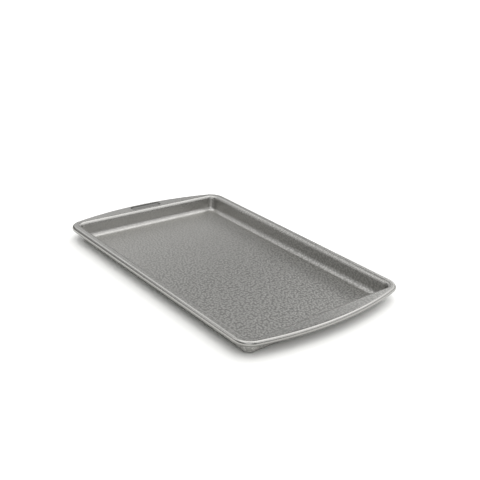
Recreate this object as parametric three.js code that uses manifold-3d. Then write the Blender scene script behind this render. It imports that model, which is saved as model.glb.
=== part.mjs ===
// Jelly roll pan: one sheet of embossed aluminium drawn into a shallow tray with slightly leaning walls.
// The sheet turns out into a flat flange whose edge is rolled down and under round a steel wire.
// The flange bows out at both short ends into handles, and one handle has a bare pressed recess.
// Millimetres, +Z up, +X along the pan, origin on the table under the middle of the floor.

import * as THREE from 'three';
import { mergeVertices } from 'three/addons/utils/BufferGeometryUtils.js';
import Module from 'manifold-3d';

// Tray
const sheetThickness = 1;
const innerLength = 381; // between the end walls, at the bend into the flange
const innerWidth = 254; // between the long walls, at the same bend
const flangeHeight = 25.4; // table to the flange's upper face, which is the pan's top
const wallLean = 5; // degrees out from upright
const floorFilletRadius = 8; // upper face, floor into wall
const bendRadius = 4.2; // lower face, wall into flange
const bendCornerRadius = 12; // plan radius of the tray's corners at the bend
const floorCornerRadius = 5; // plan radius where the floor starts to curve up

// Rim: flange widths run from the bend to the middle of the wire
const sideFlange = 9.6; // along the long sides
const handleReach = 20.4; // at the middle of each handle
const handleRoot = 7.6; // where a handle runs into its corners
const rimCornerRadius = 19; // plan radius of the wire at the corners
const wireDiameter = 5.2;
const wireClearance = 0.3; // sheet to wire, all round
const wireButtGap = 1; // between the wire's two cut ends
const rollEnd = 262; // degrees from the crown, level with the flange, to the sheet's cut edge

// Recess in one handle
const recessLength = 52;
const recessMargin = 3; // flat flange left beside it at the middle
const recessDepth = 0.6;
const recessSlope = 0.5; // run of its sloping edge

// Facets
const endSteps = 6; // half of an end
const cornerSteps = 8;
const sideSteps = 2; // half of a long side
const filletSteps = 5;
const bendSteps = 4;
const rollSteps = 12; // crown to cut edge
const wireSides = 10;
const recessEndSteps = 8;

const radians = THREE.MathUtils.degToRad;
const { lerp } = THREE.MathUtils;

// Profile of the sheet, from which the outlines take their offsets
const leanAngle = radians(wallLean);
const turnAngle = Math.PI / 2 - leanAngle; // the sheet turns this far at the floor and at the bend
const bendOuterRadius = bendRadius + sheetThickness;
const bendRun = bendOuterRadius * Math.tan(turnAngle / 2);
const floorRun = (flangeHeight - sheetThickness) * Math.tan(leanAngle);
const filletRun = floorFilletRadius * Math.tan(turnAngle / 2);
const floorInset = floorRun + filletRun; // bend to the edge of the flat floor
const rollInnerRadius = wireDiameter / 2 + wireClearance;
const rollRadius = rollInnerRadius + sheetThickness;
const wireHeight = flangeHeight - rollRadius;
const handleFlat = handleReach - bendRun; // flat flange at the middle of a handle
const recessWidth = handleFlat - 2 * recessMargin;

// Plan of the wire: straight sides, bowed ends, round corners between them
const wireHalfLength = innerLength / 2 + handleReach;
const wireHalfWidth = innerWidth / 2 + sideFlange;
const handleRise = handleReach - handleRoot;
const handleHalfSpan = innerWidth / 2 - bendCornerRadius;
const handleRadius = (handleHalfSpan ** 2 + handleRise ** 2) / (2 * handleRise);
const handleCentre = wireHalfLength - handleRadius;
const cornerY = wireHalfWidth - rimCornerRadius;
const handleAngle = Math.asin(cornerY / (handleRadius - rimCornerRadius));
const cornerX = handleCentre + (handleRadius - rimCornerRadius) * Math.cos(handleAngle);

// Evenly spaced values from one to another, both ends included
function spread(from, to, steps) {
  return Array.from({ length: steps + 1 }, (_, i) => lerp(from, to, i / steps));
}

// Points on a circle in plan, anticlockwise
function planArc(x, y, radius, from, to, steps) {
  return spread(from, to, steps).map((angle) => ({
    x: x + radius * Math.cos(angle),
    y: y + radius * Math.sin(angle),
  }));
}

// Whole outline, anticlockwise, from its first quarter, which runs from the +X axis to the +Y axis
function allRound(quarter) {
  const back = quarter.slice(0, -1).reverse();
  return [
    ...quarter,
    ...back.map(({ x, y }) => ({ x: -x, y })),
    ...quarter.slice(1).map(({ x, y }) => ({ x: -x, y: -y })),
    ...back.slice(0, -1).map(({ x, y }) => ({ x, y: -y })),
  ];
}

// Tray outline at a distance out from the bend: the corners tighten towards the floor
function trayOutline(out) {
  const a = innerLength / 2 + out;
  const b = innerWidth / 2 + out;
  const radius = lerp(bendCornerRadius, floorCornerRadius, -out / floorInset);
  const end = spread(0, b - radius, endSteps).map((y) => ({ x: a, y }));
  const corner = planArc(a - radius, b - radius, radius, 0, Math.PI / 2, cornerSteps);
  const side = spread(a - radius, 0, sideSteps).map((x) => ({ x, y: b }));
  return allRound([...end, ...corner.slice(1), ...side.slice(1)]);
}

// Rim outline at a distance out from the middle of the wire
function rimOutline(out) {
  const b = wireHalfWidth + out;
  const end = planArc(handleCentre, 0, handleRadius + out, 0, handleAngle, endSteps);
  const corner = planArc(cornerX, cornerY, rimCornerRadius + out, handleAngle, Math.PI / 2, cornerSteps);
  const side = spread(cornerX, 0, sideSteps).map((x) => ({ x, y: b }));
  return allRound([...end, ...corner.slice(1), ...side.slice(1)]);
}

// Rings of the sheet along an arc of its profile; angles run from straight up towards the outside
function profileArc(outline, { out, height, radius, from, to, steps }) {
  return spread(from, to, steps).map((angle) => {
    const z = height + radius * Math.cos(angle);
    return outline(out + radius * Math.sin(angle)).map(({ x, y }) => new THREE.Vector3(x, y, z));
  });
}

// One face of the sheet, floor to cut edge, at a depth below its upper face
function sheetFace(depth) {
  const fillet = profileArc(trayOutline, {
    out: -floorInset,
    height: sheetThickness + floorFilletRadius,
    radius: floorFilletRadius + depth,
    from: Math.PI,
    to: Math.PI - turnAngle,
    steps: filletSteps,
  });
  const bend = profileArc(trayOutline, {
    out: bendRun,
    height: flangeHeight - bendOuterRadius,
    radius: bendOuterRadius - depth,
    from: -turnAngle,
    to: 0,
    steps: bendSteps,
  });
  const roll = profileArc(rimOutline, {
    out: 0,
    height: wireHeight,
    radius: rollRadius - depth,
    from: 0,
    to: radians(rollEnd),
    steps: rollSteps,
  });
  return [...fillet, ...bend, ...roll];
}

// Closed solid through a row of closed rings, with a fan of triangles over the first and the last
function loft(rings) {
  const count = rings[0].length;
  const points = rings.flat();
  const faces = [];
  for (let ring = 0; ring < rings.length - 1; ring += 1) {
    for (let i = 0; i < count; i += 1) {
      const here = ring * count + i;
      const next = ring * count + ((i + 1) % count);
      faces.push(here, here + count, next + count, here, next + count, next);
    }
  }
  const last = (rings.length - 1) * count;
  for (const [start, turned] of [[0, false], [last, true]]) {
    const middle = points.length;
    const sum = points.slice(start, start + count).reduce((a, p) => a.add(p), new THREE.Vector3());
    points.push(sum.divideScalar(count));
    for (let i = 0; i < count; i += 1) {
      const edge = [start + i, start + ((i + 1) % count)];
      faces.push(middle, ...(turned ? edge.reverse() : edge));
    }
  }
  const geometry = new THREE.BufferGeometry().setFromPoints(points);
  geometry.setIndex(faces);
  return geometry;
}

// Oblong plug with round ends lying along the -X handle, from one height and width to another
function oblongPlug(low, lowWidth, high, highWidth) {
  const middleX = -(innerLength / 2 + bendRun + handleFlat / 2);
  const halfStraight = (recessLength - recessWidth) / 2;
  const ring = (width, z) => [
    ...planArc(middleX, halfStraight, width / 2, 0, Math.PI, recessEndSteps),
    ...planArc(middleX, -halfStraight, width / 2, Math.PI, 2 * Math.PI, recessEndSteps),
  ].map(({ x, y }) => new THREE.Vector3(x, y, z));
  return loft([ring(highWidth, high), ring(lowWidth, low)]);
}

const wasm = await Module();
wasm.setup();

function toSolid(geometry) {
  const bare = geometry.clone();
  bare.deleteAttribute('normal');
  bare.deleteAttribute('uv');
  const merged = mergeVertices(bare);
  return new wasm.Manifold(new wasm.Mesh({
    numProp: 3,
    vertProperties: new Float32Array(merged.attributes.position.array),
    triVerts: new Uint32Array(merged.index.array),
  }));
}

function toGeometry(solid) {
  const { vertProperties, triVerts } = solid.getMesh();
  const geometry = new THREE.BufferGeometry();
  geometry.setAttribute('position', new THREE.BufferAttribute(vertProperties, 3));
  geometry.setIndex(new THREE.BufferAttribute(triVerts, 1));
  return geometry;
}

// Pressed sheet: the drawn and rolled tray, then the recess, whose lower face stands out below
function panBody() {
  const tray = loft([...sheetFace(0), ...sheetFace(sheetThickness).reverse()]);
  const bottom = flangeHeight - recessDepth;
  const slopes = 2 * recessSlope;
  const walls = 2 * sheetThickness;
  const pad = oblongPlug(
    bottom - sheetThickness, recessWidth - slopes + walls,
    bottom, recessWidth + walls,
  );
  const hollow = oblongPlug(
    bottom, recessWidth - slopes,
    flangeHeight + recessDepth, recessWidth + slopes,
  );
  return toGeometry(toSolid(tray).add(toSolid(pad)).subtract(toSolid(hollow)));
}

// Wire inside the rolled edge, one length with its ends butted at the middle of the +Y side
function rimWire() {
  const angles = spread(0, -2 * Math.PI, wireSides).slice(0, -1);
  const strands = angles.map((angle) => {
    const z = wireHeight + (wireDiameter / 2) * Math.cos(angle);
    const outline = rimOutline((wireDiameter / 2) * Math.sin(angle));
    return outline.map(({ x, y }) => new THREE.Vector3(x, y, z));
  });
  const stations = strands[0].length;
  const start = stations / 4;
  const sections = Array.from({ length: stations + 1 }, (_, i) => (
    strands.map((strand) => strand[(start + i) % stations].clone())
  ));
  sections[0].forEach((point) => { point.x -= wireButtGap / 2; });
  sections[stations].forEach((point) => { point.x += wireButtGap / 2; });
  return loft(sections);
}

function piece(name, geometry, material) {
  geometry.computeVertexNormals();
  const mesh = new THREE.Mesh(geometry, new THREE.MeshStandardMaterial(material));
  mesh.name = name;
  return mesh;
}

const pan = new THREE.Group();
pan.add(
  piece('pan_body', panBody(), { color: 0x9d9d98, roughness: 0.38, metalness: 1 }),
  piece('rim_wire', rimWire(), { color: 0x85878a, roughness: 0.45, metalness: 1 }),
);

export default pan;
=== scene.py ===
"""Jelly roll pan of pebble-embossed aluminium with a rolled rim, in a plain white studio."""

import logging
import math
from dataclasses import dataclass
from enum import Enum

import bpy
import numpy as np
from mathutils import Matrix, Vector


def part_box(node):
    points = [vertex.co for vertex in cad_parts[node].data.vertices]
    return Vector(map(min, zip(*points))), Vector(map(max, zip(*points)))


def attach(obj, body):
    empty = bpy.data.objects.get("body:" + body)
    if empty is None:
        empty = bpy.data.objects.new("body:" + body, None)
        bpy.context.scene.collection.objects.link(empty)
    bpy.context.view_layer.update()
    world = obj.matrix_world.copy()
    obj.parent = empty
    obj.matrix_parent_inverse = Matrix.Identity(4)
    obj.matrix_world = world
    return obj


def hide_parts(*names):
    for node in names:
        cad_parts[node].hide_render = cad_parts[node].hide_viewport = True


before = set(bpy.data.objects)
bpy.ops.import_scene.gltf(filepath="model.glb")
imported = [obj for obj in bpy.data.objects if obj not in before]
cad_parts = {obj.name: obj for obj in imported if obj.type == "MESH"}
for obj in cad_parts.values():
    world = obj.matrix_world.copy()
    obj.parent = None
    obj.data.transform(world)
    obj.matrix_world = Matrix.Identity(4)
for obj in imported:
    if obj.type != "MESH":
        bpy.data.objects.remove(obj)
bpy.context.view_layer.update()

LOG = logging.getLogger("jelly_roll_pan")
MM = 0.001
BODY = "root"
EMBOSS = "emboss"  # per point: share of the pebble pressed into the mesh itself
RELIEF = "relief"  # per point: share of the pebble left to the finish
PAINTED_SHADE = "dark"  # per point: how far painted shade darkens the sheet, at the recess's edge and on the rolled edge
BLANK = "blank"  # per point: its place on the flat sheet before the pan was drawn, in metres


def add_node(
    tree: bpy.types.NodeTree, kind: str, settings: dict | None = None, inputs: dict | None = None,
) -> bpy.types.Node:
    """Add one node with its settings and links.

    Args:
        tree: node tree that takes the node.
        kind: Blender's name for the node type.
        settings: property values by name.
        inputs: socket values, or output sockets to link, by the input's name or index.

    Returns:
        The new node.
    """
    node = tree.nodes.new(kind)
    for name, value in (settings or {}).items():
        setattr(node, name, value)
    for key, value in (inputs or {}).items():
        if isinstance(value, bpy.types.NodeSocket):
            tree.links.new(value, node.inputs[key])
        else:
            node.inputs[key].default_value = value
    return node


def linear(hex_colour: str) -> tuple[float, float, float, float]:
    """Turn an sRGB hex colour into linear RGBA.

    Args:
        hex_colour: six hex digits after a hash sign.

    Returns:
        Linear red, green and blue, and an alpha of 1.
    """
    channels = [int(hex_colour[i : i + 2], 16) / 255 for i in (1, 3, 5)]
    return (*(c / 12.92 if c <= 0.04045 else ((c + 0.055) / 1.055) ** 2.4 for c in channels), 1.0)


def smooth_step(value: np.ndarray, start: float, full: float) -> np.ndarray:
    """Ease values from 0 to 1, flat at both ends.

    Args:
        value: values to ease.
        start: value where the result leaves 0.
        full: value where it reaches 1.

    Returns:
        The eased values.
    """
    t = np.clip((value - start) / (full - start), 0, 1)
    return t * t * (3 - 2 * t)


def towards(azimuth: float, elevation: float) -> Vector:
    """Point a unit vector at a place in the room.

    Args:
        azimuth: degrees from +X, anticlockwise from above.
        elevation: degrees above level.

    Returns:
        The vector.
    """
    a, e = math.radians(azimuth), math.radians(elevation)
    return Vector((math.cos(a) * math.cos(e), math.sin(a) * math.cos(e), math.sin(e)))


def start_material(name: str) -> tuple[bpy.types.Material, bpy.types.NodeTree, bpy.types.Node]:
    """Start a material with its shader.

    Args:
        name: name of the material.

    Returns:
        The material, its node tree and its Principled shader.
    """
    material = bpy.data.materials.new(name)
    material.use_nodes = True
    return material, material.node_tree, material.node_tree.nodes["Principled BSDF"]


def start_tree(name: str, inputs: dict[str, str]) -> bpy.types.NodeTree:
    """Start a geometry tree with one geometry output.

    Args:
        name: name of the tree.
        inputs: kinds of socket by the input's name.

    Returns:
        The tree.
    """
    tree = bpy.data.node_groups.new(name, "GeometryNodeTree")
    tree.interface.new_socket("Geometry", in_out="OUTPUT", socket_type="NodeSocketGeometry")
    for title, kind in inputs.items():
        tree.interface.new_socket(title, in_out="INPUT", socket_type=kind)
    return tree


def end_tree(tree: bpy.types.NodeTree, shape: bpy.types.NodeSocket, finish: bpy.types.NodeSocket) -> None:
    """End a geometry tree: make its instances real and dress them.

    Args:
        tree: tree to end.
        shape: socket with the geometry.
        finish: socket with the material.
    """
    real = add_node(tree, "GeometryNodeRealizeInstances", inputs={0: shape})
    dressed = add_node(tree, "GeometryNodeSetMaterial", inputs={
        "Geometry": real.outputs[0], "Material": finish,
    })
    add_node(tree, "NodeGroupOutput", inputs={0: dressed.outputs[0]})


class Follows(Enum):
    """Outline that a ring of the sheet runs along."""

    TRAY = "tray"
    RIM = "rim"


@dataclass(frozen=True)
class Density:
    """Steps of the mesh in millimetres, with a fine stretch at each end of the recess."""

    fine: tuple[float, float] = (19.5, 27.5)  # from the middle of a handle
    fine_step: float = 0.55
    end_step: float = 3.0
    side_step: float = 8.0
    corner_steps: int = 14  # number of steps round a corner
    floor_step: float = 1.15
    under_step: float = 8.0


@dataclass(frozen=True)
class PanShape:
    """Sizes of the pressed sheet in millimetres."""

    length: float  # over the rolled edge
    width: float
    height: float
    thickness: float = 1.0
    wall_lean: float = 5.0  # degrees out from upright
    floor_fillet: float = 8.0
    bend_radius: float = 4.2  # lower face
    bend_corner: float = 12.0
    floor_corner: float = 5.0
    side_flange: float = 9.6  # bend to the middle of the wire
    handle_reach: float = 20.4
    handle_root: float = 7.6
    rim_corner: float = 19.0
    wire_diameter: float = 5.2
    wire_clearance: float = 0.3
    roll_end: float = 262.0  # degrees from the crown

    @classmethod
    def from_frame(cls) -> "PanShape":
        """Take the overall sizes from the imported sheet."""
        low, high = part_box("pan_body")
        return cls(*((high - low) / MM))

    @property
    def turn(self) -> float:
        """Angle through which the sheet turns at the floor and at the bend."""
        return math.radians(90 - self.wall_lean)

    @property
    def bend_outer(self) -> float:
        """Bend radius of the upper face."""
        return self.bend_radius + self.thickness

    @property
    def bend_run(self) -> float:
        """Width of flange that the bend takes up."""
        return self.bend_outer * math.tan(self.turn / 2)

    @property
    def roll_radius(self) -> float:
        """Outer radius of the rolled edge."""
        return self.wire_diameter / 2 + self.wire_clearance + self.thickness

    @property
    def wire_height(self) -> float:
        """Height of the wire's middle above the table."""
        return self.height - self.roll_radius

    @property
    def floor_inset(self) -> float:
        """Distance from the bend in to the edge of the flat floor."""
        lean = math.tan(math.radians(self.wall_lean))
        return (self.height - self.thickness) * lean + self.floor_fillet * math.tan(self.turn / 2)

    @property
    def handle_flat(self) -> float:
        """Width of flat flange at the middle of a handle."""
        return self.handle_reach - self.bend_run

    @property
    def bend_half(self) -> tuple[float, float]:
        """Half length and half width of the tray at the bend."""
        half_width = self.width / 2 - self.roll_radius - self.side_flange
        return self.length / 2 - self.roll_radius - self.handle_reach, half_width


class Outlines:
    """The pan's plan: closed rows of points, anticlockwise, that match station for station."""

    def __init__(self, shape: PanShape, density: Density) -> None:
        """Work out the stations from the sizes.

        Args:
            shape: sizes of the sheet.
            density: steps along the outline.
        """
        self.shape = shape
        half_length, half_width = shape.bend_half
        root = half_width - shape.bend_corner
        marks = (0.0, *density.fine, root)
        steps = (density.end_step, density.fine_step, density.end_step)
        stretches = [
            np.linspace(start, stop, round((stop - start) / step), endpoint=False)
            for start, stop, step in zip(marks, marks[1:], steps)
        ]
        self.end = np.concatenate([*stretches, [root]]) / root
        self.corner = np.linspace(0, 1, density.corner_steps + 1)
        self.side = np.linspace(1, 0, round(half_length / density.side_step) + 1)

    @staticmethod
    def all_round(end: np.ndarray, corner: np.ndarray, side: np.ndarray) -> np.ndarray:
        """Mirror a quarter, from the +X axis to the +Y axis, into the whole outline.

        Args:
            end: points along half of an end.
            corner: points round a corner.
            side: points along half of a long side.

        Returns:
            Points of the closed outline.
        """
        quarter = np.concatenate([end, corner[1:], side[1:]])
        back = quarter[-2::-1]
        return np.concatenate([quarter, back * [-1, 1], quarter[1:] * [-1, -1], back[:-1] * [1, -1]])

    def tray(self, out: float) -> np.ndarray:
        """Outline of the tray, with corners that tighten towards the floor.

        Args:
            out: distance out from the bend.

        Returns:
            Points of the closed outline.
        """
        shape = self.shape
        half_length, half_width = np.array(shape.bend_half) + out
        radius = shape.bend_corner + (shape.bend_corner - shape.floor_corner) * out / shape.floor_inset
        corner_x, corner_y = half_length - radius, half_width - radius
        angle = self.corner * math.pi / 2
        end = np.column_stack([np.full(len(self.end), half_length), self.end * corner_y])
        corner = np.column_stack([corner_x + radius * np.cos(angle), corner_y + radius * np.sin(angle)])
        side = np.column_stack([self.side * corner_x, np.full(len(self.side), half_width)])
        return self.all_round(end, corner, side)

    def rim(self, out: float) -> np.ndarray:
        """Outline of the rim, with bowed ends and straight sides.

        Args:
            out: distance out from the middle of the wire.

        Returns:
            Points of the closed outline.
        """
        shape = self.shape
        half_length, half_width = np.array(shape.bend_half) + [shape.handle_reach, shape.side_flange]
        rise = shape.handle_reach - shape.handle_root
        span = shape.bend_half[1] - shape.bend_corner
        bow = (span**2 + rise**2) / (2 * rise)
        centre = half_length - bow
        corner_y = half_width - shape.rim_corner
        reach = bow - shape.rim_corner
        limit = math.asin(corner_y / reach)
        corner_x = centre + reach * math.cos(limit)
        angle = self.end * limit
        end = np.column_stack([centre + (bow + out) * np.cos(angle), (bow + out) * np.sin(angle)])
        angle = limit + self.corner * (math.pi / 2 - limit)
        radius = shape.rim_corner + out
        corner = np.column_stack([corner_x + radius * np.cos(angle), corner_y + radius * np.sin(angle)])
        side = np.column_stack([self.side * corner_x, np.full(len(self.side), half_width + out)])
        return self.all_round(end, corner, side)

    def ring(self, follows: Follows, out: float, height: float) -> np.ndarray:
        """One ring of points in space, at a distance out from an outline and a height above the table."""
        plan = self.tray(out) if follows is Follows.TRAY else self.rim(out)
        return np.column_stack([plan, np.full(len(plan), height)])

    def arc(
        self, follows: Follows, centre: tuple[float, float], radius: float,
        turn: tuple[float, float], steps: int,
    ) -> np.ndarray:
        """Rings along an arc of the sheet's profile.

        Args:
            follows: outline that the rings run along.
            centre: distance out and height of the arc's centre.
            radius: radius of the arc.
            turn: first and last angle, from straight up towards the outside.
            steps: steps between them.

        Returns:
            Rings by row.
        """
        return np.array([
            self.ring(follows, centre[0] + radius * math.sin(angle), centre[1] + radius * math.cos(angle))
            for angle in np.linspace(*turn, steps + 1)
        ])


@dataclass(frozen=True)
class Recess:
    """Bare oblong pressed into the flange of the -X handle, in millimetres."""

    length: float = 52.0
    margin: float = 3.0  # flat flange beside it
    depth: float = 0.6
    slope: float = 1.2  # run of its rounded edge
    shade_outer: tuple[float, float] = (-1.7, -0.7)  # in from its edge, where the painted shade sets in
    shade_inner: tuple[float, float] = (0.8, 2.0)  # in from its edge, where the painted shade weakens
    shade_loss: float = 0.65  # share of the painted shade that the bottom lacks

    def inside(self, shape: PanShape, points: np.ndarray) -> np.ndarray:
        """Distance of points in from the edge of the oblong, seen from above.

        Args:
            shape: sizes of the sheet.
            points: points in space.

        Returns:
            Millimetres, below 0 outside it.
        """
        half_width = shape.handle_flat / 2 - self.margin
        middle = -(shape.bend_half[0] + shape.bend_run + shape.handle_flat / 2)
        along = np.maximum(np.abs(points[..., 1]) - (self.length / 2 - half_width), 0)
        return half_width - np.hypot(points[..., 0] - middle, along)

    def mark(self, shape: PanShape, points: np.ndarray) -> np.ndarray:
        """Painted shade at the oblong: full along its edge, less on the bottom.

        Args:
            shape: sizes of the sheet.
            points: points in space.

        Returns:
            A share from 0 to 1 for each point.
        """
        inside = self.inside(shape, points)
        bottom = smooth_step(inside, *self.shade_inner)
        return smooth_step(inside, *self.shade_outer) * (1 - self.shade_loss * bottom)

    def press(self, shape: PanShape, points: np.ndarray) -> np.ndarray:
        """Lower the points inside the oblong, in place."""
        points[..., 2] -= self.depth * smooth_step(self.inside(shape, points), 0, self.slope)
        return points


@dataclass(frozen=True)
class PebbleEmboss:
    """Pebble pattern rolled into the sheet: rounded lumps with soft valleys between them."""

    grain: float = 3.3  # millimetres from lump to lump
    depth: float = 0.26
    wander: float = 1.0  # millimetres at most that noise pushes a lump out of shape
    swirl: float = 1.6  # grains across a swirl of that noise
    smoothness: float = 0.25
    crown: float = 0.15  # grains from a lump's middle to the edge of its top
    valley: float = 0.6  # grains from its middle to the bottom of a valley
    seed: float = 3.0

    def height(
        self, tree: bpy.types.NodeTree, position: bpy.types.NodeSocket, sizes: dict,
    ) -> bpy.types.NodeSocket:
        """Add the nodes that give the pattern's height, for a mesh or for a finish.

        Args:
            tree: node tree that takes them.
            position: where to read the pattern on the flat sheet, in metres.
            sizes: values or sockets for "scale", lumps to the metre, and "seed", a shift of the place.

        Returns:
            Socket with the height, from 0 in a valley to 1 on a crown.
        """
        place = add_node(tree, "ShaderNodeVectorMath", {"operation": "ADD"}, {0: position, 1: sizes["seed"]})
        noise = add_node(tree, "ShaderNodeTexNoise", {"noise_dimensions": "2D"}, {
            "Vector": place.outputs[0], "Scale": 1 / (self.swirl * self.grain * MM), "Detail": 1.0,
        })
        centred = add_node(tree, "ShaderNodeVectorMath", {"operation": "SUBTRACT"}, {
            0: noise.outputs["Color"], 1: (0.5, 0.5, 0.5),
        })
        pushed = add_node(tree, "ShaderNodeVectorMath", {"operation": "MULTIPLY_ADD"}, {
            0: centred.outputs[0], 1: (2 * self.wander * MM,) * 3, 2: place.outputs[0],
        })
        cells = add_node(
            tree, "ShaderNodeTexVoronoi", {"voronoi_dimensions": "2D", "feature": "SMOOTH_F1"},
            {"Vector": pushed.outputs[0], "Scale": sizes["scale"], "Smoothness": self.smoothness},
        )
        dome = add_node(tree, "ShaderNodeMapRange", {"interpolation_type": "SMOOTHSTEP"}, {
            "Value": cells.outputs["Distance"], "From Min": self.crown, "From Max": self.valley,
            "To Min": 1.0, "To Max": 0.0,
        })
        return dome.outputs["Result"]

    def tree(self) -> bpy.types.NodeTree:
        """Build the tree that presses the pattern into a mesh along its normals.

        Returns:
            The geometry tree.
        """
        tree = start_tree("pebble_emboss", {
            "Geometry": "NodeSocketGeometry", "Lumps per metre": "NodeSocketFloat",
            "Depth": "NodeSocketFloat", "Seed": "NodeSocketFloat", "Finish": "NodeSocketMaterial",
        })
        given = add_node(tree, "NodeGroupInput").outputs
        blank = add_node(tree, "GeometryNodeInputNamedAttribute", {"data_type": "FLOAT_VECTOR"}, {
            "Name": BLANK,
        })
        sizes = {"scale": given["Lumps per metre"], "seed": given["Seed"]}
        height = self.height(tree, blank.outputs[0], sizes)
        share = add_node(tree, "GeometryNodeInputNamedAttribute", {"data_type": "FLOAT"}, {"Name": EMBOSS})
        pressed = add_node(tree, "ShaderNodeMath", {"operation": "MULTIPLY"}, {
            0: height, 1: share.outputs[0],
        })
        lift = add_node(tree, "ShaderNodeMath", {"operation": "MULTIPLY"}, {
            0: pressed.outputs[0], 1: given["Depth"],
        })
        normal = add_node(tree, "GeometryNodeInputNormal").outputs[0]
        offset = add_node(tree, "ShaderNodeVectorMath", {"operation": "SCALE"}, {
            0: normal, "Scale": lift.outputs[0],
        })
        moved = add_node(tree, "GeometryNodeSetPosition", inputs={
            "Geometry": given["Geometry"], "Offset": offset.outputs[0],
        })
        end_tree(tree, moved.outputs[0], given["Finish"])
        return tree


def run_tree(name: str, source: bpy.types.ID, tree: bpy.types.NodeTree, values: dict) -> bpy.types.Object:
    """Run a geometry tree on a mesh or curve and keep the result as a plain mesh.

    Args:
        name: name of the finished piece.
        source: mesh or curve data that goes in.
        tree: geometry tree to run.
        values: the tree's inputs by name.

    Returns:
        An object with the plain mesh, at the origin.
    """
    raw = bpy.data.objects.new(name + "_raw", source)
    bpy.context.scene.collection.objects.link(raw)
    modifier = raw.modifiers.new("build", "NODES")
    modifier.node_group = tree
    for item in tree.interface.items_tree:
        if item.in_out == "INPUT" and item.name in values:
            modifier[item.identifier] = values[item.name]
    depsgraph = bpy.context.evaluated_depsgraph_get()
    mesh = bpy.data.meshes.new_from_object(raw.evaluated_get(depsgraph), depsgraph=depsgraph)
    mesh.name = name
    raw.modifiers.remove(modifier)
    bpy.data.objects.remove(raw)
    piece = bpy.data.objects.new(name, mesh)
    bpy.context.scene.collection.objects.link(piece)
    return piece


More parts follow.
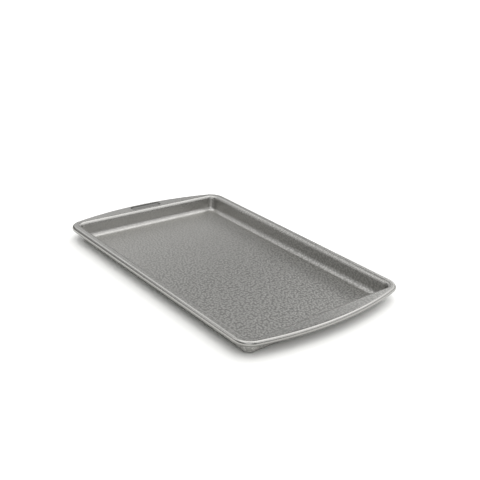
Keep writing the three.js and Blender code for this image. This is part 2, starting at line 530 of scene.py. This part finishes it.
@dataclass(frozen=True)
class EmbossedAluminium:
    """Mill-finish aluminium sheet, embossed by rolling and then drawn.

    A soft satin grey mirror, which takes the light of whatever it faces, broken up by the pebble. The valleys
    of the pebble hold a darker film with painted shade, weaker towards the -X end, and the rolling has dulled
    the sheet in faint cloudy patches. Painted shade darkens the edge of the recess and the rolled edge, most
    on its underside.
    """

    pale: str = "#C2C1BE"
    dull: str = "#B8B7B4"
    film_and_shade: str = "#6C6C69"
    # grey of the painted shade at the recess's edge and on the rolled edge
    painted_shade_grey: str = "#4E4E4B"
    film_and_shade_share: tuple[float, float] = (0.25, 0.92)  # film and painted shade in the valleys, at the -X end and past the middle
    film_and_shade_fade: tuple[float, float] = (-150.0, 20.0)  # millimetres along the pan between those two, so the painted shade is weaker towards -X
    roughness: tuple[float, float] = (0.13, 0.21)  # in pale patches and in dull ones
    pebble_dull: float = 0.3  # roughness that a full share of the pebble adds
    cloud: float = 35.0  # millimetres across a dull patch
    cloud_range: tuple[float, float] = (0.3, 0.7)  # of the noise, from the glossiest to the dullest
    grit: float = 0.5  # millimetres, drawn coarser than the real rolling grain so that it shows
    grit_depth: float = 0.006
    pebble_depth: float = 0.2

    def colour(
        self, tree: bpy.types.NodeTree, position: bpy.types.NodeSocket, clouds: bpy.types.NodeSocket,
        valleys: bpy.types.NodeSocket,
    ) -> bpy.types.NodeSocket:
        """Add the nodes that colour the sheet: patches, film and painted shade in the valleys, then other
        painted shade.

        Args:
            tree: node tree that takes them.
            position: place on the piece, in metres.
            clouds: noise of the dull patches.
            valleys: how deep in a valley a point lies, times the share that the finish holds.

        Returns:
            Socket with the colour.
        """
        metal = add_node(tree, "ShaderNodeMix", {"data_type": "RGBA"}, {
            "Factor": clouds, 6: linear(self.pale), 7: linear(self.dull),
        })
        along = add_node(tree, "ShaderNodeSeparateXYZ", inputs={0: position})
        fade = add_node(tree, "ShaderNodeMapRange", inputs={
            "Value": along.outputs["X"],
            "From Min": self.film_and_shade_fade[0] * MM, "From Max": self.film_and_shade_fade[1] * MM,
            "To Min": self.film_and_shade_share[0], "To Max": self.film_and_shade_share[1],
        })
        # film and painted shade in the pebble's valleys, weaker towards the -X end
        film_and_shade = add_node(tree, "ShaderNodeMath", {"operation": "MULTIPLY"}, {0: valleys, 1: fade.outputs[0]})
        filmed_and_shaded = add_node(tree, "ShaderNodeMix", {"data_type": "RGBA"}, {
            "Factor": film_and_shade.outputs[0], 6: metal.outputs[2], 7: linear(self.film_and_shade),
        })
        # painted shade at the recess's edge and on the rolled edge
        dark = add_node(tree, "ShaderNodeAttribute", {"attribute_name": PAINTED_SHADE})
        painted_shade_grey = add_node(tree, "ShaderNodeMix", {"data_type": "RGBA"}, {
            "Factor": dark.outputs["Fac"], 6: filmed_and_shaded.outputs[2], 7: linear(self.painted_shade_grey),
        })
        return painted_shade_grey.outputs[2]

    def normal(
        self, tree: bpy.types.NodeTree, position: bpy.types.NodeSocket, relief: bpy.types.NodeSocket,
    ) -> bpy.types.NodeSocket:
        """Add the nodes that raise the rolling grain and the pebble.

        Args:
            tree: node tree that takes them.
            position: place on the piece, in metres.
            relief: height of the pebble, times the share that the finish holds.

        Returns:
            Socket with the normal.
        """
        grain = add_node(tree, "ShaderNodeTexNoise", inputs={
            "Vector": position, "Scale": 1 / (self.grit * MM), "Detail": 2.0,
        })
        fine = add_node(tree, "ShaderNodeBump", inputs={
            "Distance": self.grit_depth * MM, "Height": grain.outputs["Fac"],
        })
        bump = add_node(tree, "ShaderNodeBump", inputs={
            "Distance": self.pebble_depth * MM, "Height": relief, "Normal": fine.outputs[0],
        })
        return bump.outputs[0]

    def build(self, pebble: PebbleEmboss) -> bpy.types.Material:
        """Build the finish.

        Args:
            pebble: pattern that it carries over the sheet.

        Returns:
            The material.
        """
        material, tree, shader = start_material("aluminium_sheet_rolled_pebble_embossed")
        shader.inputs["Metallic"].default_value = 1.0
        position = add_node(tree, "ShaderNodeTexCoord").outputs["Object"]
        clouds = add_node(tree, "ShaderNodeTexNoise", inputs={
            "Vector": position, "Scale": 1 / (self.cloud * MM), "Detail": 4.0,
        }).outputs["Fac"]
        gloss = add_node(tree, "ShaderNodeMapRange", inputs={
            "Value": clouds, "From Min": self.cloud_range[0], "From Max": self.cloud_range[1],
            "To Min": self.roughness[0], "To Max": self.roughness[1],
        })
        blank = add_node(tree, "ShaderNodeAttribute", {"attribute_name": BLANK})
        sizes = {"scale": 1 / (pebble.grain * MM), "seed": (pebble.seed,) * 3}
        lumps = pebble.height(tree, blank.outputs["Vector"], sizes)
        share = add_node(tree, "ShaderNodeAttribute", {"attribute_name": RELIEF}).outputs["Fac"]
        satin = add_node(tree, "ShaderNodeMath", {"operation": "MULTIPLY_ADD"}, {
            0: share, 1: self.pebble_dull, 2: gloss.outputs[0],
        })
        low = add_node(tree, "ShaderNodeMapRange", inputs={"Value": lumps, "To Min": 1.0, "To Max": 0.0})
        valleys = add_node(tree, "ShaderNodeMath", {"operation": "MULTIPLY"}, {0: low.outputs[0], 1: share})
        relief = add_node(tree, "ShaderNodeMath", {"operation": "MULTIPLY"}, {0: lumps, 1: share})
        for name, socket in (
            ("Base Color", self.colour(tree, position, clouds, valleys.outputs[0])),
            ("Roughness", satin.outputs[0]),
            ("Normal", self.normal(tree, position, relief.outputs[0])),
        ):
            tree.links.new(socket, shader.inputs[name])
        return material


@dataclass(frozen=True)
class DrawnSteel:
    """Bright drawn steel wire: a cool grey shine, made a little uneven by the die."""

    colour: str = "#A9ABAE"
    roughness: tuple[float, float] = (0.28, 0.42)
    mark: float = 0.35  # millimetres across a die mark, coarser than a real one so that it shows
    mark_depth: float = 0.01

    def build(self) -> bpy.types.Material:
        """Build the finish.

        Returns:
            The material.
        """
        material, tree, shader = start_material("steel_wire_bright_drawn")
        shader.inputs["Metallic"].default_value = 1.0
        shader.inputs["Base Color"].default_value = linear(self.colour)
        position = add_node(tree, "ShaderNodeTexCoord").outputs["Object"]
        marks = add_node(tree, "ShaderNodeTexNoise", inputs={
            "Vector": position, "Scale": 1 / (self.mark * MM), "Detail": 2.0,
        })
        gloss = add_node(tree, "ShaderNodeMapRange", inputs={
            "Value": marks.outputs["Fac"], "To Min": self.roughness[0], "To Max": self.roughness[1],
        })
        bump = add_node(tree, "ShaderNodeBump", inputs={
            "Distance": self.mark_depth * MM, "Height": marks.outputs["Fac"],
        })
        tree.links.new(gloss.outputs[0], shader.inputs["Roughness"])
        tree.links.new(bump.outputs[0], shader.inputs["Normal"])
        return material


@dataclass(frozen=True)
class MattPaper:
    """Uncoated white paper: an even white without shine that takes soft shadows."""

    colour: str = "#F6F6F4"
    roughness: float = 0.9
    specular: float = 0.1

    def build(self) -> bpy.types.Material:
        """Build the finish.

        Returns:
            The material.
        """
        material, _, shader = start_material("paper_matt_white")
        shader.inputs["Base Color"].default_value = linear(self.colour)
        shader.inputs["Roughness"].default_value = self.roughness
        shader.inputs["Specular IOR Level"].default_value = self.specular
        return material


class MeshParts:
    """Points and faces of one mesh, gathered part by part."""

    def __init__(self) -> None:
        """Start empty."""
        self.points: list[np.ndarray] = []
        self.blank: list[np.ndarray] = []
        self.emboss: list[np.ndarray] = []
        self.relief: list[np.ndarray] = []
        self.dark: list[np.ndarray] = []
        self.faces: list[list[int]] = []
        self.count = 0

    def add_points(
        self, points: np.ndarray, blank: np.ndarray, emboss: np.ndarray, relief: np.ndarray, dark: np.ndarray,
    ) -> int:
        """Add points with their places on the flat sheet, their shares of the pebble and their painted shade.

        Args:
            points: points in millimetres.
            blank: places on the flat sheet in millimetres.
            emboss: share pressed into the mesh.
            relief: share left to the finish.
            dark: how far painted shade darkens them.

        Returns:
            Index of the first point.
        """
        first = self.count
        self.points.append(points)
        self.blank.append(np.column_stack([blank, np.zeros(len(points))]))
        self.emboss.append(emboss)
        self.relief.append(relief)
        self.dark.append(dark)
        self.count += len(points)
        return first

    def add_loft(self, first: int, rings: int, stations: int) -> None:
        """Join neighbouring closed rings with quads.

        Args:
            first: index of the first ring's first point.
            rings: number of rings.
            stations: points in each ring.
        """
        for ring in range(rings - 1):
            row = first + ring * stations + np.arange(stations)
            turned = np.roll(row, -1)
            self.faces.extend(np.column_stack([row, row + stations, turned + stations, turned]).tolist())

    def zip_loops(self, inner: list[int], outer: list[int]) -> list[list[int]]:
        """Fill the strip between two closed loops with triangles.

        Args:
            inner: inner loop's points, anticlockwise.
            outer: outer loop's points, anticlockwise.

        Returns:
            Triangles that face up.
        """
        points = np.concatenate(self.points)[:, :2]
        start = int(np.argmin(((points[inner] - points[outer[0]]) ** 2).sum(1)))
        inner = inner[start:] + inner[:start]
        triangles = []
        i = j = 0
        while i < len(inner) or j < len(outer):
            here, there = inner[i % len(inner)], outer[j % len(outer)]
            on, out = inner[(i + 1) % len(inner)], outer[(j + 1) % len(outer)]
            step_in = ((points[on] - points[there]) ** 2).sum()
            step_out = ((points[out] - points[here]) ** 2).sum()
            if j == len(outer) or (i < len(inner) and step_in < step_out):
                triangles.append([here, there, on])
                i += 1
            else:
                triangles.append([here, there, out])
                j += 1
        return triangles

    def mesh(self, name: str) -> bpy.types.Mesh:
        """Make the Blender mesh, in metres.

        Args:
            name: name of the mesh.

        Returns:
            The mesh, smooth and with its point attributes.
        """
        mesh = bpy.data.meshes.new(name)
        mesh.from_pydata((np.concatenate(self.points) * MM).tolist(), [], self.faces)
        for title, shares in ((EMBOSS, self.emboss), (RELIEF, self.relief), (PAINTED_SHADE, self.dark)):
            attribute = mesh.attributes.new(title, "FLOAT", "POINT")
            attribute.data.foreach_set("value", np.concatenate(shares).astype(np.float32))
        attribute = mesh.attributes.new(BLANK, "FLOAT_VECTOR", "POINT")
        attribute.data.foreach_set("vector", (np.concatenate(self.blank) * MM).astype(np.float32).ravel())
        mesh.shade_smooth()
        return mesh


@dataclass(frozen=True)
class FaceSteps:
    """Steps of one face of the sheet across its stretches, and the pebble's share on each."""

    fillet: int
    wall: int
    bend: int
    flange: tuple[float, ...]  # millimetres out from the bend, close together beside the recess's edges
    roll: int
    shares: tuple[float, ...]  # fillet, wall, bend, flange, roll


UPPER_FACE = FaceSteps(
    fillet=8, wall=4, bend=7, roll=18, shares=(0.5, 0.45, 0.3, 0.45, 0.08),
    flange=(
        1.5, 2.6, 3.1, 3.5, 3.9, 4.3, 4.7, 5.2, 6.5, 8, 9.5, 10.4, 10.9, 11.3, 11.7, 12.1, 12.6, 13, 14.3,
    ),
)
LOWER_FACE = FaceSteps(
    fillet=5, wall=2, bend=4, roll=10, shares=(0.6, 0.6, 0.5, 0.5, 0.1),
    flange=(2, 2.7, 3.4, 4.2, 7.8, 11.4, 12.2, 12.9, 13.7),
)


@dataclass
class PanBody:
    """The pressed sheet: floor, walls, flange, handles, recess and rolled edge."""

    shape: PanShape
    density: Density
    recess: Recess
    pebble: PebbleEmboss
    finish: EmbossedAluminium
    edge_fade: float = 3.5  # millimetres over which the pressed pebble starts inside the floor's edge
    edge_gap: float = 0.6  # least gap between the floor's grid and its edge, in grid steps
    floor_share: float = 0.8  # share of the pebble that the finish holds where none is pressed
    floor_relief: float = 0.8  # part of that which it keeps to crispen the pressed pebble
    # Painted shade on the rolled edge, deepest on its underside: degrees from its crown where each band
    # starts, degrees where it is full, and how far it darkens.
    roll_shade: tuple[tuple[float, float, float], ...] = ((25.0, 65.0, 0.25), (80.0, 115.0, 0.5))
    sharp_angle: float = 50.0  # degrees, past which an edge is creased

    def face_rings(self, outlines: Outlines, depth: float, face: FaceSteps) -> tuple[np.ndarray, np.ndarray]:
        """Rings of one face of the sheet, from the floor's edge to the cut edge.

        Args:
            outlines: plan of the pan.
            depth: depth below the upper face.
            face: steps and pebble shares of the face's stretches.

        Returns:
            Rings by row, and the pebble share of each ring.
        """
        shape = self.shape
        fillet = outlines.arc(
            Follows.TRAY, (-shape.floor_inset, shape.thickness + shape.floor_fillet),
            shape.floor_fillet + depth, (math.pi, math.pi - shape.turn), face.fillet,
        )
        bend = outlines.arc(
            Follows.TRAY, (shape.bend_run, shape.height - shape.bend_outer), shape.bend_outer - depth,
            (-shape.turn, 0), face.bend,
        )
        roll = outlines.arc(
            Follows.RIM, (0, shape.wire_height), shape.roll_radius - depth,
            (0, math.radians(shape.roll_end)), face.roll,
        )
        wall = self.between(fillet[-1], bend[0], np.linspace(0, 1, face.wall + 1)[1:-1])
        flange = self.between(bend[-1], roll[0], np.array(face.flange) / shape.handle_flat)
        rings = (fillet, wall, bend, flange, roll)
        shares = [np.full(len(rows), share) for rows, share in zip(rings, face.shares)]
        return self.recess.press(shape, np.concatenate(rings)), np.concatenate(shares)

    @staticmethod
    def between(first: np.ndarray, last: np.ndarray, places: np.ndarray) -> np.ndarray:
        """Rings at places from 0 to 1 between two others."""
        return first + (last - first) * places[:, None, None]

    def floor_patch(self, parts: MeshParts, ring: np.ndarray, first: int, step: float, upward: bool) -> None:
        """Fill a flat floor with a square grid, joined to the ring round it.

        Args:
            parts: mesh that takes the patch.
            ring: points of the ring.
            first: index of the ring's first point.
            step: grid step in millimetres.
            upward: whether the patch faces up and carries the pressed pebble.
        """
        half = ring[:, :2].max(0)
        radius = self.shape.floor_corner
        counts = np.ceil(2 * half / step).astype(int)
        axes = [np.linspace(-h, h, n + 1) for h, n in zip(half, counts)]
        grid = np.stack(np.meshgrid(*axes, indexing="ij"), -1)
        beyond = np.abs(grid) - (half - radius)
        inset = radius - np.hypot(*np.moveaxis(np.maximum(beyond, 0), -1, 0)) - np.minimum(beyond.max(-1), 0)
        kept = inset > self.edge_gap * step
        cells = kept[:-1, :-1] & kept[1:, :-1] & kept[1:, 1:] & kept[:-1, 1:]
        used = np.zeros_like(kept)
        for dx in (0, 1):
            for dy in (0, 1):
                used[dx : dx + cells.shape[0], dy : dy + cells.shape[1]] |= cells
        points = np.column_stack([grid[used], np.full(used.sum(), ring[0, 2])])
        pressed = smooth_step(inset[used], 0, self.edge_fade) * upward
        relief = np.maximum(1 - pressed, self.floor_relief) * self.floor_share
        start = parts.add_points(points, grid[used], pressed, relief, np.zeros(len(points)))
        index = np.full(used.shape, -1)
        index[used] = start + np.arange(used.sum())
        i, j = np.nonzero(cells)
        quads = np.column_stack([index[i, j], index[i + 1, j], index[i + 1, j + 1], index[i, j + 1]])
        loop = self.boundary(quads)
        strip = parts.zip_loops(loop, list(range(first, first + len(ring))))
        faces = quads.tolist() + strip
        parts.faces.extend(faces if upward else [face[::-1] for face in faces])

    def unrolled(self, outlines: Outlines, rings: np.ndarray) -> np.ndarray:
        """Places of a face's rings on the flat sheet: each ring laid out from the floor's edge.

        Args:
            outlines: plan of the pan.
            rings: rings by row from the floor's edge outwards.

        Returns:
            Plan places by row.
        """
        edge = rings[0, :, :2]
        outward = outlines.tray(1 - self.shape.floor_inset) - edge
        outward /= np.linalg.norm(outward, axis=1, keepdims=True)
        steps = np.linalg.norm(np.diff(rings, axis=0), axis=2)
        run = np.concatenate([np.zeros((1, len(edge))), np.cumsum(steps, axis=0)])
        return edge + outward * run[..., None]

    @staticmethod
    def boundary(quads: np.ndarray) -> list[int]:
        """Follow the outer edge of a patch of quads.

        Args:
            quads: the patch's faces by row, anticlockwise.

        Returns:
            Points of the edge, anticlockwise.
        """
        edges = np.concatenate([quads[:, [k, (k + 1) % 4]] for k in range(4)]).tolist()
        inner = {(b, a) for a, b in edges}
        after = {a: b for a, b in edges if (a, b) not in inner}
        loop = [next(iter(after))]
        while after[loop[-1]] != loop[0]:
            loop.append(after[loop[-1]])
        return loop

    def darkness(self, rings: np.ndarray) -> np.ndarray:
        """Painted shade on the upper face: at the recess's edge and on the rolled edge, most on its
        underside.

        Args:
            rings: rings of the upper face by row.

        Returns:
            A share from 0 to 1 for each point.
        """
        # painted shade along the recess's edge
        dark = self.recess.mark(self.shape, rings)
        # painted shade on the rolled edge, deepest on its underside
        turn = np.linspace(0, self.shape.roll_end, UPPER_FACE.roll + 1)
        roll_shade_share = sum(share * smooth_step(turn, start, full) for start, full, share in self.roll_shade)
        dark[-len(turn):] = roll_shade_share[:, None]
        return dark

    def build(self) -> bpy.types.Object:
        """Build the sheet as one closed mesh, press the pebble into it and dress it.

        Returns:
            The finished piece.
        """
        outlines = Outlines(self.shape, self.density)
        parts = MeshParts()
        top, top_share = self.face_rings(outlines, 0.0, UPPER_FACE)
        under, under_share = self.face_rings(outlines, self.shape.thickness, LOWER_FACE)
        rings = np.concatenate([top, under[::-1]])
        shares = np.concatenate([top_share, under_share[::-1]])
        blank = np.concatenate([self.unrolled(outlines, top), self.unrolled(outlines, under)[::-1]])
        count, stations = rings.shape[:2]
        shares = np.repeat(shares, stations)
        dark = np.concatenate([self.darkness(top), np.zeros(under.shape[:2])]).ravel()
        first = parts.add_points(
            rings.reshape(-1, 3), blank.reshape(-1, 2), np.zeros(len(shares)), shares, dark,
        )
        parts.add_loft(first, count, stations)
        last = first + (count - 1) * stations
        self.floor_patch(parts, rings[0], first, self.density.floor_step, True)
        self.floor_patch(parts, rings[-1], last, self.density.under_step, False)
        piece = run_tree("embossed_pan_sheet", parts.mesh("pan_sheet"), self.pebble.tree(), {
            "Lumps per metre": 1 / (self.pebble.grain * MM), "Depth": self.pebble.depth * MM,
            "Seed": self.pebble.seed, "Finish": self.finish.build(self.pebble),
        })
        piece.data.set_sharp_from_angle(angle=math.radians(self.sharp_angle))
        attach(piece, BODY)
        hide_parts("pan_body")
        return piece


@dataclass
class RimWire:
    """Steel wire inside the rolled edge, one length with its ends butted."""

    shape: PanShape
    density: Density
    finish: DrawnSteel
    butt_gap: float = 1.0  # millimetres between its ends
    sides: int = 20
    sharp_angle: float = 60.0  # degrees, past which an edge is creased

    def tree(self) -> bpy.types.NodeTree:
        """Build the tree that sweeps a round section along the wire's path.

        Returns:
            The geometry tree.
        """
        tree = start_tree("wire_sweep", {
            "Path": "NodeSocketGeometry", "Radius": "NodeSocketFloat", "Sides": "NodeSocketInt",
            "Finish": "NodeSocketMaterial",
        })
        given = add_node(tree, "NodeGroupInput").outputs
        section = add_node(tree, "GeometryNodeCurvePrimitiveCircle", inputs={
            "Resolution": given["Sides"], "Radius": given["Radius"],
        })
        swept = add_node(tree, "GeometryNodeCurveToMesh", inputs={
            "Curve": given["Path"], "Profile Curve": section.outputs["Curve"], "Fill Caps": True,
        })
        end_tree(tree, swept.outputs[0], given["Finish"])
        return tree

    def build(self) -> bpy.types.Object:
        """Sweep the wire along the middle of the rolled edge and dress it.

        Returns:
            The finished piece.
        """
        path = Outlines(self.shape, self.density).ring(Follows.RIM, 0.0, self.shape.wire_height)
        quarter = len(path) // 4
        path = np.roll(path, -quarter, 0)
        path = np.concatenate([path, path[:1]])
        path[0, 0] -= self.butt_gap / 2
        path[-1, 0] += self.butt_gap / 2
        curve = bpy.data.curves.new("wire_path", "CURVE")
        curve.dimensions = "3D"
        spline = curve.splines.new("POLY")
        spline.points.add(len(path) - 1)
        spline.points.foreach_set("co", np.column_stack([path * MM, np.ones(len(path))]).ravel())
        piece = run_tree("rim_reinforcing_wire", curve, self.tree(), {
            "Radius": self.shape.wire_diameter / 2 * MM, "Sides": self.sides, "Finish": self.finish.build(),
        })
        piece.data.shade_smooth()
        piece.data.set_sharp_from_angle(angle=math.radians(self.sharp_angle))
        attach(piece, BODY)
        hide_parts("rim_wire")
        return piece


@dataclass(frozen=True)
class PhotoCamera:
    """Camera at the photograph's place, found by fitting the pan's edges."""

    azimuth: float = -42.94  # degrees from +X
    elevation: float = 23.56
    roll: float = 5.35
    distance: float = 1133.5  # millimetres
    aim: tuple[float, float, float] = (-67.0, 84.2, 0.0)
    focal_pixels: float = 731.2
    frame_pixels: float = 480.0
    sensor: float = 36.0

    def build(self) -> bpy.types.Object:
        """Make the camera and set it as the scene's own.

        Returns:
            The camera.
        """
        back = towards(self.azimuth, self.elevation)
        level = towards(self.azimuth + 90, 0)
        upright = back.cross(level)
        roll = math.radians(self.roll)
        right = level * math.cos(roll) + upright * math.sin(roll)
        up = upright * math.cos(roll) - level * math.sin(roll)
        place = (Vector(self.aim) + back * self.distance) * MM
        data = bpy.data.cameras.new("photo_camera")
        data.sensor_width = self.sensor
        data.lens = self.focal_pixels * self.sensor / self.frame_pixels
        camera = bpy.data.objects.new("photo_camera", data)
        camera.matrix_world = Matrix((
            (right.x, up.x, back.x, place.x), (right.y, up.y, back.y, place.y),
            (right.z, up.z, back.z, place.z), (0, 0, 0, 1),
        ))
        bpy.context.scene.collection.objects.link(camera)
        bpy.context.scene.camera = camera
        return camera


@dataclass(frozen=True)
class SoftLight:
    """One large round studio light, brightest at its middle and fading to its edge."""

    name: str
    azimuth: float  # degrees from +X
    elevation: float
    reach: float  # degrees from its middle to its edge
    level: float  # brightness at its middle

    def add(self, tree: bpy.types.NodeTree, direction: bpy.types.NodeSocket) -> bpy.types.NodeSocket:
        """Add the light to the room.

        Args:
            tree: node tree of the room.
            direction: socket with the direction looked in.

        Returns:
            Socket with the light's brightness in that direction.
        """
        nearness = add_node(tree, "ShaderNodeVectorMath", {"operation": "DOT_PRODUCT"}, {
            0: direction, 1: towards(self.azimuth, self.elevation),
        })
        edge = math.cos(math.radians(self.reach))
        settings = {"interpolation_type": "SMOOTHSTEP", "label": self.name}
        glow = add_node(tree, "ShaderNodeMapRange", settings, {
            "Value": nearness.outputs["Value"], "From Min": edge, "From Max": 1.0,
            "To Min": 0.0, "To Max": self.level,
        })
        return glow.outputs["Result"]


@dataclass(frozen=True)
class FillLight:
    """Broad even light from above the camera that whitens the paper; the metal doesn't mirror it."""

    azimuth: float  # degrees from +X
    elevation: float
    spread: float  # degrees across
    strength: float

    def build(self) -> bpy.types.Object:
        """Hang the light, turned to the pan.

        Returns:
            The light.
        """
        away = towards(self.azimuth, self.elevation)
        data = bpy.data.lights.new("fill_light", "SUN")
        data.angle = math.radians(self.spread)
        data.energy = self.strength
        light = bpy.data.objects.new("fill_light", data)
        light.matrix_world = Matrix.Translation(away) @ away.to_track_quat("Z", "Y").to_matrix().to_4x4()
        light.visible_glossy = False
        bpy.context.scene.collection.objects.link(light)
        return light


@dataclass(frozen=True)
class Studio:
    """Plain white paper in a room with a pale far wall and large soft lights."""

    floor_half: float = 9.0  # metres
    paper: MattPaper = MattPaper()
    lights: tuple[SoftLight, ...] = (
        SoftLight("overhead", 0, 90, 40, 0.98),
        SoftLight("front_high", 270, 58, 34, 1.08),
        SoftLight("right_high", 45, 58, 34, 0.53),
        SoftLight("back_high", 90, 58, 34, 0.88),
        SoftLight("left_high", 180, 58, 34, 0.4),
        SoftLight("camera_side", 330, 32, 30, 1.15),
        SoftLight("right", 30, 32, 30, 0.97),
        SoftLight("back", 90, 32, 30, 1.04),
        SoftLight("back_left", 156, 29, 27, 0.8),
        SoftLight("left", 210, 32, 30, 0.35),
        SoftLight("right_low", 60, 10, 26, 0.75),
        SoftLight("back_low", 121, 13, 23, 0.64),
        SoftLight("left_low", 240, 10, 26, 0.6),
        SoftLight("front_low", 315, 6, 38, 0.34),
        SoftLight("left_spot", 172, 47, 13, 0.8),
        SoftLight("left_lamp", 226, 42, 18, 0.95),
        SoftLight("window", 122, 23, 9, 1.3),
    )
    wall_level: float = 0.5  # brightness of the far wall at its foot
    wall_top: float = 11.0  # degrees up to where it fades out
    fill: FillLight = FillLight(azimuth=321, elevation=59, spread=42, strength=1.46)

    def build_floor(self) -> bpy.types.Object:
        """Lay the paper that the pan stands on.

        Returns:
            The floor.
        """
        half = self.floor_half
        corners = [(-half, -half, 0), (half, -half, 0), (half, half, 0), (-half, half, 0)]
        mesh = bpy.data.meshes.new("paper_floor")
        mesh.from_pydata(corners, [], [(0, 1, 2, 3)])
        mesh.materials.append(self.paper.build())
        floor = bpy.data.objects.new("paper_floor", mesh)
        bpy.context.scene.collection.objects.link(floor)
        return floor

    def build_room(self) -> None:
        """Set up the room: the pale far wall and the soft lights above it."""
        world = bpy.data.worlds.new("soft_room")
        bpy.context.scene.world = world
        world.use_nodes = True
        tree = world.node_tree
        direction = add_node(tree, "ShaderNodeTexCoord").outputs["Generated"]
        height = add_node(tree, "ShaderNodeSeparateXYZ", inputs={0: direction}).outputs["Z"]
        settings = {"interpolation_type": "SMOOTHSTEP", "label": "far_wall"}
        total = add_node(tree, "ShaderNodeMapRange", settings, {
            "Value": height, "From Min": 0.0, "From Max": math.sin(math.radians(self.wall_top)),
            "To Min": self.wall_level, "To Max": 0.0,
        }).outputs["Result"]
        for light in self.lights:
            glow = light.add(tree, direction)
            total = add_node(tree, "ShaderNodeMath", {"operation": "ADD"}, {0: total, 1: glow}).outputs[0]
        background = tree.nodes["Background"]
        background.inputs["Strength"].default_value = 1.0
        tree.links.new(total, background.inputs["Color"])


def main() -> None:
    """Build the pan, the studio and the camera in order, and report each piece."""
    logging.basicConfig(level=logging.INFO, format="%(name)s: %(message)s")
    shape, density = PanShape.from_frame(), Density()
    pieces = [
        PanBody(shape, density, Recess(), PebbleEmboss(), EmbossedAluminium()).build(),
        RimWire(shape, density, DrawnSteel()).build(),
    ]
    for piece in pieces:
        piece.data.calc_loop_triangles()
        LOG.info("%s: %d triangles", piece.name, len(piece.data.loop_triangles))
    studio = Studio()
    studio.build_floor()
    studio.build_room()
    studio.fill.build()
    PhotoCamera().build()
    bpy.context.scene.view_settings.view_transform = "Standard"
    bpy.context.view_layer.update()


if __name__ == "__main__":
    main()
